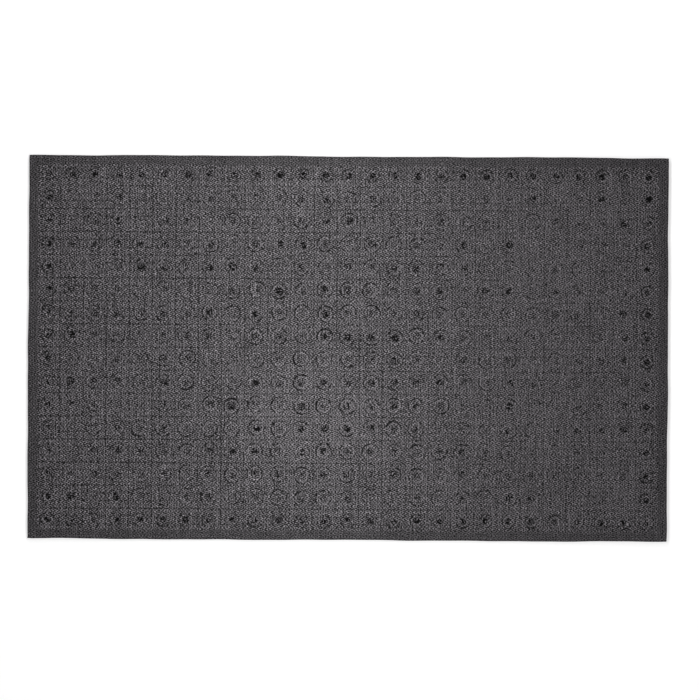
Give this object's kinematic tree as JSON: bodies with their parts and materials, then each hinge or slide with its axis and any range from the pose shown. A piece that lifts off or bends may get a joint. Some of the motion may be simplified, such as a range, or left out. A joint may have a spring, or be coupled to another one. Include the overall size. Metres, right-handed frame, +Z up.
{
  "type": "door mat",
  "caption": "Rectangular washable door mat: dark rubber backing with a lattice of vent dimples over a tufted charcoal pile, shown pile down.",
  "frame": {"origin": "centre of the mat's outline at the level of the pile's tips, which is the floor that the mat lies on in this pose", "axes": "+X along the 750 mm side, +Y along the 450 mm side, +Z up out of the rubber backing's dimpled face; for use the mat is turned over about X, pile up"},
  "size_m": [0.75, 0.45, 0.0085],
  "materials": {
    "backing_rubber": "dark grey nitrile rubber, satin, pressed with a fine woven imprint",
    "edge_rubber": "dark grey nitrile rubber, smooth satin",
    "tufting_cloth": "matt grey non-woven cloth",
    "pile_yarn": "charcoal twisted nylon yarn, matt"
  },
  "bodies": {
    "root": {"backing_sheet": "backing_rubber", "edge_strip_front": "edge_rubber", "edge_strip_back": "edge_rubber", "edge_strip_left": "edge_rubber", "edge_strip_right": "edge_rubber", "primary_backing": "tufting_cloth", "pile": "pile_yarn"}
  },
  "joints": []
}
